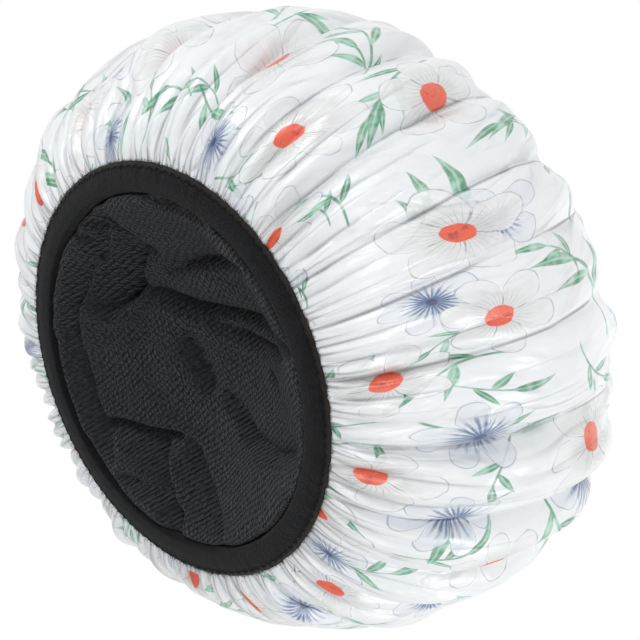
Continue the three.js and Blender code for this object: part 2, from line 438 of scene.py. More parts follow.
# Shared effects
# --------------


@shared("scattered places")
def scatter_group(name):
    """Places one motif in each cell of a jittered grid. Puts out the place inside the motif, turned at random,
    and two random values that belong to it."""
    tree, net, given, out = new_tree(
        name,
        {"Vector": VECTOR, "Cell": 0.07, "Jitter": 0.3, "Offset": VECTOR},
        {"Place": "Vector", "Random A": "Float", "Random B": "Float"},
    )
    flat = net.vector("MULTIPLY", given["Vector"] + given["Offset"], (1, 1, 0))
    inputs = dict(vector=flat, scale=1.0 / given["Cell"], randomness=given["Jitter"])
    cells = net.node("ShaderNodeTexVoronoi", inputs, voronoi_dimensions="2D", feature="F1").outputs
    turned, first, second = net.split(cells["Color"], "ShaderNodeSeparateColor")
    place = net.turn(flat - cells["Position"], turned * (2 * math.pi))
    net.fill(out, place=place, random_a=first, random_b=second)
    return tree


@shared("blossom")
def blossom_group(name):
    """A round-petalled blossom about its own middle: masks for the petals' fill, their ink lines and the centre."""
    tree, net, given, out = new_tree(
        name,
        {"Vector": VECTOR, "Petals": 5.0, "Radius": 0.024, "Centre": 0.006, "Line": 0.00035, "Roundness": 0.55},
        {"Petal": "Float", "Line": "Float", "Centre": "Float", "Reach": "Float"},
    )
    vector, full, line = given["Vector"], given["Radius"], given["Line"]
    x, y, _ = net.split(vector)
    radius = net.vector("LENGTH", vector)
    angle = net.math("ARCTAN2", y, x) + (net.noise(vector, 55.0) - 0.5) * 0.55
    half = angle * (given["Petals"] * 0.5)
    lobe = abs(net.cosine(half))
    edge = radius - full * (lobe ** given["Roundness"] * 0.62 + 0.38)
    rim = net.ramp(abs(edge), line * 2.0, line * 0.6)
    # The lines between petals, and two veins in each.
    divide = net.ramp(lobe * radius, line * 4.2, line * 1.4)
    vein = net.ramp(abs(net.sine(half * 6.0)) * radius, line * 9.0, line * 3.0)
    vein = vein * net.ramp(radius, full * 0.75, full * 0.3)
    lines = net.most(rim, divide * 0.85, vein * 0.62)
    middle = radius - ((net.noise(vector, 260.0) - 0.5) * 0.002 + given["Centre"])
    net.fill(
        out,
        petal=net.ramp(edge, 0.0006, -0.0006),
        line=lines * net.ramp(edge, line * 2.4, line),
        centre=net.ramp(middle, 0.0004, -0.0004),
        reach=radius / full,
    )
    return tree


# Each leaf of a sprig: its middle, how far it is turned, and half its length and width, in shares of the sprig's.
LEAVES = ((0.70, 0.0, 0.0, 0.46, 0.105), (0.12, 0.25, 0.75, 0.38, 0.085), (-0.20, -0.22, -0.7, 0.34, 0.08))


@shared("leaf sprig")
def sprig_group(name):
    """A sprig with a curved stem, a leaf on its end and one on each side. Puts out its mask, and a light vein."""
    tree, net, given, out = new_tree(
        name,
        {"Vector": VECTOR, "Length": 0.022},
        {"Leaf": "Float", "Vein": "Float", "Stem": "Float"},
    )
    x, y, _ = net.split(given["Vector"] * (1.0 / given["Length"]))
    y = y - x * x * 0.35
    leaves, veins = [], []
    for middle_x, middle_y, turned, long, wide in LEAVES:
        cos, sin = math.cos(turned), math.sin(turned)
        dx, dy = x - middle_x, y - middle_y
        along = (dx * cos + dy * sin) / long
        side = abs(dy * cos - dx * sin)
        room = 1.0 - along * along
        # The widest place lies nearer the stem.
        half = net.most(room, -0.5) * wide * (net.math("MINIMUM", along, 1.5) * -0.42 + 1.0)
        leaves.append(net.ramp(half - side, -0.010, 0.018))
        veins.append(net.ramp(side, 0.030, 0.008) * net.ramp(room, 0.1, 0.4))
    leaf = net.most(*leaves)
    stem = net.ramp(abs(y), 0.034, 0.014) * (net.ramp(x, -1.0, -0.9) * net.ramp(x, 0.5, 0.4))
    net.fill(out, leaf=leaf, vein=net.most(*veins) * leaf, stem=stem)
    return tree


@shared("sharp creases")
def crease_group(name):
    """Narrow creases where a wave crosses zero. They come and go along the cloth."""
    tree, net, given, out = new_tree(
        name,
        {"Wave": 0.0, "Width": 0.1, "Strength": 1.0, "Chance": 0.5},
        {"Crease": "Float"},
    )
    near = net.math("SUBTRACT", 1.0, abs(given["Wave"]) / given["Width"], clamp=True)
    net.fill(out, crease=near**1.6 * given["Strength"] * given["Chance"])
    return tree


@shared("fine weave")
def weave_group(name):
    """A fine over-and-under weave or knit: its height, from 0 to 1, with a little wander."""
    tree, net, given, out = new_tree(
        name, {"Vector": VECTOR, "Pitch": 0.0006, "Wander": 0.3}, {"Height": "Float"}
    )
    vector, pitch = given["Vector"], given["Pitch"]
    moved = vector + net.wander(vector, 240.0, 2.0, "3D") * (given["Wander"] * pitch)
    x, y, _ = net.split(moved * (2 * math.pi / pitch))
    net.fill(out, height=net.sine(x) * net.sine(y) * 0.5 + 0.5)
    return tree


# Materials
# ---------


def print_leaves(net, settings, uv, cloth, wash, ground):
    """Leaf sprigs in two sizes, over the ground."""
    for cell, offset, length in ((0.056, (0.011, 0.037, 0), 0.0230), (0.064, (0.041, 0.009, 0), 0.0310)):
        place, first, _ = net.group(scatter_group(), vector=cloth, cell=cell, jitter=0.35, offset=offset)
        leaf, vein, stem = net.group(sprig_group(), vector=place, length=length)
        soak = net.ramp(net.noise(uv, 95.0), 0.42, 0.68)
        ink = net.mix(soak, settings.green, (0.30, 0.60, 0.44))
        ink = net.mix(vein * 0.55, ink, (0.50, 0.76, 0.62))
        mask = net.most(leaf, stem * 0.9) * net.math("GREATER_THAN", first, 0.1)
        ground = net.mix(mask * net.ramp(wash, 0.2, 0.6, to_low=0.50, to_high=0.92), ground, ink)
    return ground


def print_blue_blossoms(net, settings, cloth, wash, ground):
    """Small blossoms: pale washed petals, with dark blue strokes out of the middle."""
    place, first, second = net.group(scatter_group(), vector=cloth, cell=0.084, jitter=0.45, offset=(0.042, 0.042, 0))
    petals = net.math("GREATER_THAN", first, 0.5) * 2.0 + 5.0
    sizes = dict(petals=petals, radius=0.0245, centre=0.0024, line=0.00034, roundness=0.6)
    petal, line, centre, reach = net.group(blossom_group(), vector=place, **sizes)
    x, y, _ = net.split(place)
    stroke = net.sine(net.math("ARCTAN2", y, x) * 23.0) * 0.16 + (wash - 0.5) * 0.7
    ink = net.mix(net.ramp(reach + stroke, 0.08, 0.58), settings.blue, (0.765, 0.795, 0.835))
    ink = net.mix(line * 0.9, ink, (0.085, 0.14, 0.28))
    ink = net.mix(centre, ink, (0.02, 0.04, 0.12))
    mask = petal * net.math("GREATER_THAN", second, 0.15)
    return net.mix(mask * net.ramp(reach, 0.2, 0.8, to_low=0.96, to_high=0.80), ground, ink)


def print_pale_blossoms(net, settings, uv, cloth, wash, ground):
    """Large pale blossoms with coral centres."""
    place, first, second = net.group(scatter_group(), vector=cloth, cell=0.084, jitter=0.45)
    petals, radius = net.math("FLOOR", second * 2.99) + 5.0, first * 0.006 + 0.0255
    sizes = dict(petals=petals, radius=radius, centre=0.0066, line=0.00038, roundness=0.5)
    petal, line, centre, reach = net.group(blossom_group(), vector=place, **sizes)
    shown = net.math("GREATER_THAN", first, 0.08)
    shade = net.ramp(reach + (wash - 0.5) * 0.8, 0.15, 0.9)
    ink = net.mix(shade, (0.70, 0.685, 0.675), (0.825, 0.832, 0.832))
    ink = net.mix(line * net.ramp(wash, 0.38, 0.62, to_low=0.40, to_high=0.95), ink, settings.outline)
    ground = net.mix(petal * shown * 0.85, ground, ink)
    heart = net.mix(net.ramp(net.noise(uv, 1500.0), 0.3, 0.8), settings.coral, (0.90, 0.155, 0.05))
    heart = net.mix(net.ramp(wash, 0.55, 0.72), heart, (0.40, 0.028, 0.018))
    return net.mix(centre * shown, ground, heart)


def satin_creases(net, uv, radius):
    """Masks of the sharp creases in the folds' valleys and between the pleats, and of the puckers at the hem."""
    fold_wave, pleat_wave, pleat_strength = net.attribute("folds")
    pucker_wave, pucker_strength, _ = net.attribute("puckers")
    patchy = net.noise(uv, 24.0)

    def creases(wave, width, strength, chance):
        return net.group(crease_group(), wave=wave, width=width, strength=strength, chance=chance)

    fold_width = net.ramp(radius, 0.10, 0.28, smooth=False, to_low=0.04, to_high=0.12)
    pleat_width = net.ramp(radius, 0.18, 0.28, smooth=False, to_low=0.14, to_high=0.34)
    fold = creases(fold_wave, fold_width, net.ramp(radius, 0.09, 0.19), net.ramp(patchy, 0.36, 0.56))
    pleat = creases(pleat_wave, pleat_width, pleat_strength, net.ramp(patchy, 0.66, 0.42))
    pucker = creases(pucker_wave, 0.55, pucker_strength, net.ramp(patchy, 0.70, 0.35, to_low=0.5))
    return net.most(fold, pleat), pucker


def satin_material(settings):
    """White satin with a scattered floral print in flat-cloth metres, and fine creases."""
    material, net, shader = new_material("printed satin")
    uv = net.flat_cloth()
    radius = net.vector("LENGTH", uv)
    drift = net.wander(uv, 9.0, 1.0)
    cloth = uv + drift * 0.030
    wash = net.noise(uv, 160.0, 3.0)
    ground = print_leaves(net, settings, uv, cloth, wash, settings.satin)
    ground = print_blue_blossoms(net, settings, cloth, wash, ground)
    ground = print_pale_blossoms(net, settings, uv, cloth, wash, ground)
    # The creases are darker, as little light gets in.
    crease, pucker = satin_creases(net, uv, radius)
    shadow = net.most(crease * 0.42, pucker * 0.68)
    ground = net.mix(shadow, ground, net.mix(1.0, ground, (0.48, 0.50, 0.53), blend="MULTIPLY"))

    # Fine creases run from the hem with a slow wander, and turn into a soft crumple towards the crown. The pattern
    # goes round the cap on a circle in the noise, so that it meets itself.
    outward = net.vector("NORMALIZE", uv + drift * 0.085)
    crumple = net.noise(uv, 30.0, 2.0, 0.45)
    streaks = net.noise(uv, 95.0, 2.0, 0.55) * 0.16
    for turns, along, scale, sharp in ((6.5, 7.0, 0.80, True), (10.0, 12.0, 1.25, False), (22.0, 22.0, 0.50, False)):
        bend = crumple * (1.0 if sharp else 2.0) + radius * along
        x, y, _ = net.split(outward * turns)
        lines = net.noise(net.join(x, y, bend), 1.0, 1.0, 0.4)
        if sharp:
            lines = abs(lines * 2.0 - 1.0) ** 0.85
        streaks = lines * scale + streaks
    below = net.ramp(radius, 0.04, 0.19)
    height = crumple * (below * -0.75 + 1.10) + streaks * below - (pucker * 0.40 + crease * 0.34)
    weave = net.group(weave_group(), vector=uv, pitch=0.00032, wander=0.2)
    normal = net.bump(weave, 0.00003, 0.35, net.bump(height, 0.0050, 0.7))
    gloss = dict(roughness=0.29, specular_ior_level=1.0, sheen_weight=0.12, sheen_roughness=0.4, anisotropic=0.35)
    net.fill(shader, base_color=ground, normal=normal, **gloss)
    return material


def terry_material(settings):
    """Charcoal terry: ribs of small loops, with painted shade in the grooves between them."""
    material, net, shader = new_material("ribbed terry")
    uv = net.flat_cloth()
    cloth = uv + net.wander(uv, 20.0, 2.0) * 0.010 + net.wander(uv, 520.0, 1.0) * 0.0012
    x, y, _ = net.split(net.turn(cloth, -settings.rib_turn))
    pitch = settings.rib_pitch
    rib = abs(net.sine(y * (math.pi / pitch)))
    cell = net.join(x * (1 / (pitch * 0.62)), y * (1 / (pitch * 0.75)))
    inputs = dict(vector=cell, scale=1.0)
    distance = net.out("ShaderNodeTexVoronoi", "Distance", inputs, voronoi_dimensions="2D", feature="F1")
    height = rib**0.7 * 0.62 + net.ramp(distance, 0.75, 0.05) * 0.38
    # Painted shade: the colour darkens towards (0.0030, 0.0032, 0.0038) where the ribs and loops are low, in place of
    # their shadow.
    deep = net.ramp(height, 0.28, 0.88)
    tone = net.mix(deep, (0.0030, 0.0032, 0.0038), settings.terry)
    fuzz = net.ramp(net.noise(uv, 2400.0), 0.5, 0.8) * (deep * 0.55)
    tone = net.mix(fuzz, tone, (0.052, 0.054, 0.060))
    gloss = dict(roughness=0.95, specular_ior_level=0.18, sheen_weight=0.12, sheen_roughness=0.6)
    net.fill(shader, base_color=tone, normal=net.bump(height, 0.0024, 1.0), **gloss)
    return material


def knit_material(settings):
    """Felted black knit with faint wales across it, and a worn outer edge with a brown bloom."""
    material, net, shader = new_material("black knit")
    uv, place = net.flat_cloth(), net.place()
    weave = net.group(weave_group(), vector=uv, pitch=0.0008, wander=0.4)
    mottle = net.noise(uv, 130.0, 3.0)
    tone = net.mix(net.ramp(mottle, 0.3, 0.75), settings.knit, (0.0060, 0.0064, 0.0078))
    tone = net.mix(weave * 0.35, tone, (0.004, 0.004, 0.005))
    felt = net.noise(place, 1100.0, 3.0, 0.6)
    tone = net.mix(net.ramp(felt, 0.46, 0.70) * 0.75, tone, (0.0122, 0.0127, 0.0150))
    x, y, _ = net.split(place)
    outer = net.vector("LENGTH", net.join(x, y)) + (felt - 0.5) * 0.0012
    bloom = net.ramp(outer, HEM_RADIUS - 0.0026, HEM_RADIUS - 0.0002)
    tone = net.mix(bloom * 0.75, tone, (0.034, 0.029, 0.025))
    normal = net.bump(weave * 0.3 + mottle * 0.7 + felt * 0.90, 0.0009, 0.8)
    net.fill(shader, base_color=tone, normal=normal, roughness=0.84, specular_ior_level=0.15, sheen_weight=0.10)
    return material


def fibre_material():
    """Loose brown-black fibres at the binding's edge."""
    material, net, shader = new_material("loose fibres")
    tone = net.mix(net.noise(net.place(), 1500.0, 1.0), (0.016, 0.013, 0.011), (0.055, 0.043, 0.036))
    net.fill(shader, base_color=tone, roughness=0.85, specular_ior_level=0.2)
    return material


def thread_material():
    """Twisted black sewing thread."""
    material, net, shader = new_material("sewing thread")
    inputs = dict(vector=net.place(), scale=900.0, distortion=1.5)
    twist = net.out("ShaderNodeTexWave", "Fac", inputs, wave_type="BANDS", bands_direction="DIAGONAL")
    tone = net.mix(twist, (0.004, 0.004, 0.005), (0.010, 0.010, 0.012))
    normal = net.bump(twist, 0.0001, 0.5)
    net.fill(shader, base_color=tone, normal=normal, roughness=0.75, specular_ior_level=0.2)
    return material


def elastic_material():
    """Black braided elastic, with fine cords along it."""
    material, net, shader = new_material("braided elastic")
    x, y, _ = net.split(net.place())
    cords = abs(net.sine(net.vector("LENGTH", net.join(x, y)) * (math.pi / 0.0008)))
    picks = abs(net.sine(net.math("ARCTAN2", y, x) * 380.0))
    height = cords * 0.7 + picks * 0.3
    tone = net.mix(height, (0.006, 0.006, 0.006), (0.024, 0.024, 0.026))
    net.fill(shader, base_color=tone, normal=net.bump(height, 0.0002, 0.6), roughness=0.7)
    return material


def film_material():
    """Clear film with a faint crinkle."""
    material, net, shader = new_material("clear film")
    crinkle = net.noise(net.flat_cloth(), 60.0, 4.0, 0.6)
    tone = net.mix(crinkle, (0.78, 0.84, 0.87), (0.90, 0.94, 0.96))
    net.fill(shader, base_color=tone, normal=net.bump(crinkle, 0.002, 0.6), roughness=0.16, alpha=0.35)
    return material


# The shell
# ---------

HEM_ANGLE = math.radians(50)
CROWN_FULLNESS, FOOT_FULLNESS = 0.74, 0.63
SHELL_AROUND, SHELL_RINGS = 416, 54
# The rings that are sewn into the hem, and how long the cloth is left to settle.
SEWN_RINGS, SETTLE_FRAMES = 3, 16

CLOTH = dict(
    quality=4,
    mass=0.01,
    time_scale=8.0,
    tension_stiffness=30,
    compression_stiffness=30,
    shear_stiffness=10,
    bending_model="ANGULAR",
    bending_stiffness=0.001,
    tension_damping=1,
    compression_damping=1,
    shear_damping=1,
    bending_damping=0.1,
    air_damping=0.3,
    use_pressure=True,
)

# Unevenness of the broad folds: a share, and how often it swings round the cap. Wander and lean are shares of a
# fold's pitch, and the lean grows from the hem to the crown.
FOLD_WANDER = ((0.12, 6), (0.03, 14))
FOLD_VARIETY = ((0.25, 4), (0.2, 10))
FOLD_LEAN = ((0.4, 2), (0.05, 6))
# Degrees above the girth, and the share of the folds' depth there.
FOLD_REACH = (
    (-50, 0), (-40, 0.5), (-26, 0.95), (-8, 0.9), (10, 0.65), (24, 0.42), (40, 0.22), (56, 0.1), (74, 0.02), (90, 0)
)
PLEATS_TO_A_FOLD = 3
# How far the cut edge is ruffled in the channel.
RUFFLE = 0.0014


def body_profile(settings, lift):
    """The body's mean outline from the cloth's cut edge in the hem's channel to the crown: distance along the cloth,
    radius, height and angle above the girth. lift is the layer's height in the channel."""
    hem_radius, hem_height = HEM_RADIUS + 0.0010, 0.0030 + lift
    angle = np.linspace(-HEM_ANGLE, math.pi / 2, 4000)
    girth = (settings.width + settings.depth) / 4
    crown = settings.height - settings.girth_height
    low = np.minimum(angle, 0)
    out = np.clip((np.cos(low) - math.cos(HEM_ANGLE)) / (1 - math.cos(HEM_ANGLE)), 0, 1) ** FOOT_FULLNESS
    foot_radius = hem_radius + (girth - hem_radius) * out
    foot_height = hem_height + (settings.girth_height - hem_height) * (1 - np.sin(-low) / math.sin(HEM_ANGLE))
    high = np.maximum(angle, 0)
    radius = np.where(angle < 0, foot_radius, girth * np.clip(np.cos(high), 0, 1) ** CROWN_FULLNESS)
    height = np.where(angle < 0, foot_height, settings.girth_height + crown * np.sin(high) ** CROWN_FULLNESS)
    radius = np.concatenate([[hem_radius - CHANNEL_REACH], radius])
    height = np.concatenate([[hem_height - 0.0011], height])
    return run_length(radius, height), radius, height, np.concatenate([[-HEM_ANGLE], angle])


def oval(settings, theta, share):
    """How much wider than its mean the body is at each bearing, where it has this share of its full shape."""
    flattening = (settings.width - settings.depth) / (settings.width + settings.depth)
    return 1 + flattening * np.cos(2 * theta)[None] * np.clip(share, 0, 1)


def tuck(along):
    """1 at the cut edge, and 0 from where the cloth leaves the hem's channel."""
    return np.clip(1 - along[:-1, None] / CHANNEL_REACH, 0, 1)


def swing(shares, place):
    return sum(share * np.sin(turns * place) for share, turns in shares)


def fold_field(settings, theta, climbed):
    """For each ring, given by its climb from hem to crown, and each bearing: the place in the folds, in radians
    with a valley at each whole turn, and how deep the fold is there."""
    even = np.linspace(-math.pi, 3 * math.pi, 2881)
    pitch = 2 * math.pi / settings.folds
    bearing = even + pitch * swing(FOLD_WANDER, even)
    lean = pitch * swing(FOLD_LEAN, even)
    place = np.stack([np.interp(theta, bearing + c * lean, even) for c in climbed])
    return settings.folds * place, 1 + swing(FOLD_VARIETY, place)


def folded_shell(settings):
    """The cloth before it is simulated: the body's outline with pleats at the hem that run together into folds.
    Returns its points, each ring's radius on the flat disc, how firmly each point stays in a fold's valley, and the
    waves of the folds and of the puckers at each point."""
    rng = np.random.default_rng(SEED)
    length, radius, height, angle = body_profile(settings, 0.0006)
    share = np.linspace(0, 1, SHELL_RINGS)
    along = ring_places(length[-1], 0.55 * share + 0.45 * share**1.8)
    ring_radius, ring_height = np.interp(along, length, radius), np.interp(along, length, height)
    ring_angle = np.interp(along, length, angle)[:-1, None]
    theta = bearings(SHELL_AROUND)
    s = np.clip(along - CHANNEL_REACH, 0, None)[:-1, None]
    full = ring_radius[:-1, None] * oval(settings, theta, s / 0.06)

    # Broad folds: narrow valleys between round ridges.
    climbed = ((ring_angle + HEM_ANGLE) / (math.pi / 2 + HEM_ANGLE))[:, 0]
    phase, variety = fold_field(settings, theta, climbed)
    own = rng.uniform(0.45, 1.35, settings.folds)[np.floor(phase / (2 * math.pi)).astype(int) % settings.folds]
    valley = 1.42 * np.abs(np.sin(phase / 2)) ** 0.75 - 1
    reach = np.interp(np.degrees(ring_angle), *np.transpose(FOLD_REACH))
    broad = settings.fold_depth * own * variety * reach * valley

    # Fine pleats, of uneven depth and length, which run into the folds.
    pleats = PLEATS_TO_A_FOLD * settings.folds
    pleat_phase = PLEATS_TO_A_FOLD * phase
    which = np.floor(pleat_phase / (2 * math.pi)).astype(int) % pleats
    strength, fade = rng.uniform(0.4, 1.6, pleats)[which], rng.uniform(0.018, 0.065, pleats)[which]
    pleat = np.abs(np.sin(pleat_phase / 2)) ** 0.7
    rise = np.clip(s / 0.012, 0, 1) ** 0.7 * np.exp(-np.clip(s - 0.010, 0, 1) / fade)
    fine = settings.pleat_depth * strength * (pleat - 0.62) * rise

    # Slanting slack between the folds.
    slack = sum(
        rng.uniform(0.4, 1.0)
        * np.sin(turns * theta[None] + rng.uniform(30, 90) * rng.choice((-1, 1)) * s + rng.uniform(0, 2 * math.pi))
        for turns in rng.integers(7, 40, 16)
    )
    # The slack fades on the crown, where the cloth lies in soft waves that follow no fold.
    flat = (length[-1] - along[:-1])[:, None]
    off_crown = np.clip(flat / 0.12, 0, 1) ** 1.5
    crown = sum(
        rng.uniform(0.5, 1.0)
        * np.sin(turns * flat * np.cos(theta[None] - rng.uniform(0, 2 * math.pi)) + rng.uniform(0, 2 * math.pi))
        for turns in rng.uniform(60, 190, 9)
    )
    push = broad + fine + (0.00055 * slack * off_crown + 0.00050 * crown * (1 - off_crown)) * np.clip(s / 0.03, 0, 1)
    full = full + push * np.cos(ring_angle) + RUFFLE * np.cos(pleat_phase) * tuck(along)
    level = ring_height[:-1, None] + push * np.sin(ring_angle) * (s > 0) + 0.0003 * np.sin(pleat_phase) * tuck(along)
    held = np.exp(-((np.sin(phase / 2) / 0.10) ** 2)) * np.clip(reach, 0, 1) * (s > 0)

    # The folds and pleats as waves that cross zero in each valley, and how strong the pleats are. Then small puckers
    # between the pleats, close to the hem.
    waves = np.stack([np.sin(phase / 2), np.sin(pleat_phase / 2), np.clip(strength * rise, 0, 1.5)], -1)
    drift = 0.9 * smooth_noise(rng, theta, 20, 30)[None]
    reach = 0.012 + 0.006 * smooth_noise(rng, theta, 40, 60)[None]
    near = np.exp(-s / np.clip(reach, 0.004, 0.028))
    puckers = np.stack([np.sin(pleat_phase + drift), near, 0 * near], -1)
    fields = [
        np.concatenate([field.reshape(-1, 3), [pole]])
        for field, pole in ((waves, (0.5, 0.5, 0)), (puckers, (0.5, 0, 0)))
    ]
    return close_rings(full, level, theta, ring_height[-1]), flat[:, 0], np.append(held.ravel(), 0), fields


def relax_cloth(obj, sewn, held, frames, pressure):
    """Lets obj settle as cloth that is filled with air, sewn at its first points and held in its valleys."""
    group = obj.vertex_groups.new(name="sewn")
    levels = np.round(10 * np.clip(held, 0, 1)).astype(int)
    for level in range(1, 11):
        group.add(np.flatnonzero(levels == level).tolist(), 0.04 * level, "REPLACE")
    group.add(list(range(sewn)), 1.0, "REPLACE")
    modifier = obj.modifiers.new("Cloth", "CLOTH")
    values = {**CLOTH, "vertex_group_mass": group.name, "uniform_pressure_force": pressure}
    for key, value in values.items():
        setattr(modifier.settings, key, value)
    modifier.settings.effector_weights.gravity = 0
    modifier.collision_settings.use_collision = modifier.collision_settings.use_self_collision = False
    modifier.point_cache.frame_start, modifier.point_cache.frame_end = 1, frames
    scene = bpy.context.scene
    scene.frame_start, scene.frame_end = 1, frames
    for number in range(1, frames + 1):
        scene.frame_set(number)
    apply_modifiers(obj)
    scene.frame_set(1)


class SHOWERCAP_OT_shell(bpy.types.Operator):
    """Gathers and inflates the satin shell, and prints it"""

    bl_idname = "showercap.shell"
    bl_label = "Make Shell"

    def execute(self, context):
        settings = context.scene.showercap_shell
        points, flat, held, fields = folded_shell(settings)
        sheet = new_mesh("shell_trial", points, ring_faces(len(flat), SHELL_AROUND))
        relax_cloth(sheet, SEWN_RINGS * SHELL_AROUND, held, SETTLE_FRAMES, settings.pressure)
        points = mesh_points(sheet)
        bpy.data.objects.remove(sheet)
        folds, puckers = [refine(field, flat, SHELL_AROUND)[0] for field in fields]
        points, flat = refine(points, flat, SHELL_AROUND)
        obj = disc_mesh("satin_shell", points, flat, 2 * SHELL_AROUND)
        add_vectors(obj, "folds", folds)
        add_vectors(obj, "puckers", puckers)
        set_material(obj, satin_material(settings))
        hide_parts("outer_shell")
        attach(obj, "root")
        across = 2 * (flat[0] + CUT_MARGIN)
        math.pi * (across / 2) ** 2
        return {"FINISHED"}


# The film
# --------

FILM_AROUND, FILM_RINGS = 324, 38


def crinkled_film(settings):
    """The film's surface, a little inside the shell's. Returns its points, and each ring's radius on the flat disc."""
    rng = np.random.default_rng(SEED + 1)
    length, radius, height, _ = body_profile(settings, 0.0018)
    along = ring_places(length[-1], np.linspace(0, 1, FILM_RINGS))
    ring_radius, ring_height = np.interp(along, length, radius), np.interp(along, length, height)
    s = np.clip(along - CHANNEL_REACH, 0, None)
    inset = 0.016 * np.clip(s / 0.05, 0, 1)
    ring_radius = ring_radius * np.clip(1 - inset / np.maximum(ring_radius, 0.02), 0, 1)
    floor = ring_height[2]
    squeeze = (FILM_HEIGHT - floor) / (ring_height[-1] - floor)
    ring_height = np.where(ring_height > floor, floor + (ring_height - floor) * squeeze, ring_height)
    theta = bearings(FILM_AROUND)
    climb = s[:-1, None]
    crinkle = sum(
        0.0005 * smooth_noise(rng, theta, 5 + 7 * k, 6)[None] * np.sin(climb * 60 * (k + 1)) for k in range(3)
    )
    pleat = 0.0028 * np.cos(54 * theta + 0.5 * np.sin(5 * theta))[None] * np.exp(-climb / 0.05)
    full = ring_radius[:-1, None] + (crinkle + pleat) * np.clip(climb / 0.02, 0, 1)
    full = full * oval(settings, theta, climb / 0.09)
    full = full + RUFFLE * np.cos(PLEATS_TO_A_FOLD * settings.folds * theta)[None] * tuck(along)
    reach = run_length(ring_radius, ring_height)
    return close_rings(full, ring_height[:-1, None], theta, ring_height[-1]), (reach[-1] - reach)[:-1]


class SHOWERCAP_OT_film(bpy.types.Operator):
    """Makes the clear film that lies inside the shell"""

    bl_idname = "showercap.film"
    bl_label = "Make Film"

    def execute(self, context):
        points, flat = crinkled_film(context.scene.showercap_shell)
        obj = disc_mesh("clear_film", points, flat, FILM_AROUND)
        set_material(obj, film_material())
        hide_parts("waterproof_film")
        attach(obj, "root")
        across = 2 * (flat[0] + CUT_MARGIN)
        math.pi * (across / 2) ** 2
        return {"FINISHED"}


# The lining
# ----------

LINING_AROUND, LINING_RINGS = 300, 82

# Creases across the slack lining: points in millimetres, then depth, and how far the cloth rounds into the crease on
# the right and on the left of its way, in millimetres.
CREASES = (
    (((-57, -58), (-43, -57), (-40, -52), (-36, -48), (-31, -44), (-24, -42)), 8.0, 14.0, 6.0),
    (((-36, -45), (-42, -33), (-46, -24), (-49, -17), (-53, -12), (-59, -5)), 15.0, 17.0, 4.0),
    (((-27, -32), (-16, -39), (-5, -44), (10, -48), (45, -59)), 8.0, 5.0, 6.0),
    (
        ((-47, -21), (-39, -19), (-25, -16), (-15, -15), (1, -17), (14, -19), (31, -22), (49, -25), (75, -32)),
        10.0, 6.0, 8.0,
    ),
    (((-12, -10), (3, -9), (16, -8), (29, -11), (60, -20)), 6.0, 5.0, 7.0),
    (((-24, -1), (-19, 6), (-14, 14), (-8, 24)), 5.0, 5.0, 12.0),
    (((-2, 20), (8, 26), (17, 30), (24, 33), (45, 31), (73, 17)), 7.0, 4.0, 15.0),
    (((-15, 44), (-7, 51), (-2, 55), (5, 59), (15, 64), (25, 68), (30, 80)), 7.0, 9.0, 4.0),
    (((-33, 45), (-26, 51), (-19, 58), (-14, 63), (-8, 68), (-1, 71), (3, 84)), 8.0, 10.0, 3.5),
    (((-56, 44), (-46, 43), (-39, 44), (-33, 45), (-26, 45), (-17, 45)), 11.0, 10.0, 3.0),
    (
        ((-54, -39), (-62, -29), (-66, -20), (-69, -9), (-70, 1), (-69, 12), (-66, 23), (-61, 34), (-51, 49),
         (-41, 60)),
        7.0, 6.0, 3.5,
    ),
    (((-16, -77), (-3, -76), (6, -76), (14, -75), (28, -72)), 7.0, 5.0, 5.0),
    (((-40, 63), (-26, 66), (-17, 67), (-8, 68)), 6.0, 4.0, 7.0),
    (((-11, 70), (-2, 75), (3, 84)), 9.0, 6.0, 4.0),
    (((-59, -57), (-50, -52), (-53, -42), (-57, -33)), 5.0, 7.0, 4.0),
    (((32, -3), (37, 0), (45, 1)), 4.0, 4.0, 4.0),
    (((-78, -46), (-61, -47), (-55, -44)), 6.0, 4.0, 5.0),
    (((-24, 83), (-34, 80), (-46, 76), (-55, 69)), 4.0, 6.0, 5.0),
)

# The lining's middle surface from its cut edge to the place where it hangs into the mouth, in millimetres, and from
# there as a radius and a share of its depth.
LINING_RIM = (
    (88.4, 4.7), (92.8, 6.2), (93.6, 9.5), (92.0, 12.0), (88.0, 12.2), (83.0, 9.6), (79.8, 7.4), (78.4, 4.0),
    (78.2, 1.4), (76.6, 0.6),
)
LINING_DOME = ((71.0, 0.07), (60.0, 0.33), (42.0, 0.72), (22.0, 0.94), (0.0, 1.0))
# Points that the outline is rounded off over.
ROUNDING = 27


def crease_height(x, y):
    """How far the creases lift the lining at x, y, in metres. The cloth rounds over into each from both sides, so
    that the folds between them are full and the creases narrow."""
    total = np.zeros_like(x)
    for points, depth, right, left in CREASES:
        line = np.array(points, float) / 1000
        nearest = np.full(x.shape, 1e9)
        signed = np.zeros_like(x)
        place = np.zeros_like(x)
        lengths = np.hypot(*np.diff(line, axis=0).T)
        start = 0.0
        for a, b, size in zip(line[:-1], line[1:], lengths):
            d = (b - a) / size
            t = np.clip((x - a[0]) * d[0] + (y - a[1]) * d[1], 0, size)
            dx, dy = x - (a[0] + d[0] * t), y - (a[1] + d[1] * t)
            distance = np.hypot(dx, dy)
            closer = distance < nearest
            nearest = np.where(closer, distance, nearest)
            signed = np.where(closer, d[0] * dy - d[1] * dx, signed)
            place = np.where(closer, start + t, place)
            start += size
        share = np.clip(place / start, 0, 1)
        fade = np.clip(5 * share * (1 - share), 0, 1) ** 0.6
        away = 1 - np.clip(nearest * 1000 / (1.2 * np.where(signed > 0, right, left)), 0, 1)
        total += 1.6 * depth / 1000 * fade * (1 - (1 - away**1.6) ** 0.62)
    return total


def sag(x, y):
    """The creases with slow waves between them."""
    waves = 0.0017 * np.sin(x * 95 + 1.3 * np.sin(y * 50) + 0.7) + 0.0013 * np.sin(y * 120 - x * 40 + 2.1)
    return crease_height(x, y) + waves


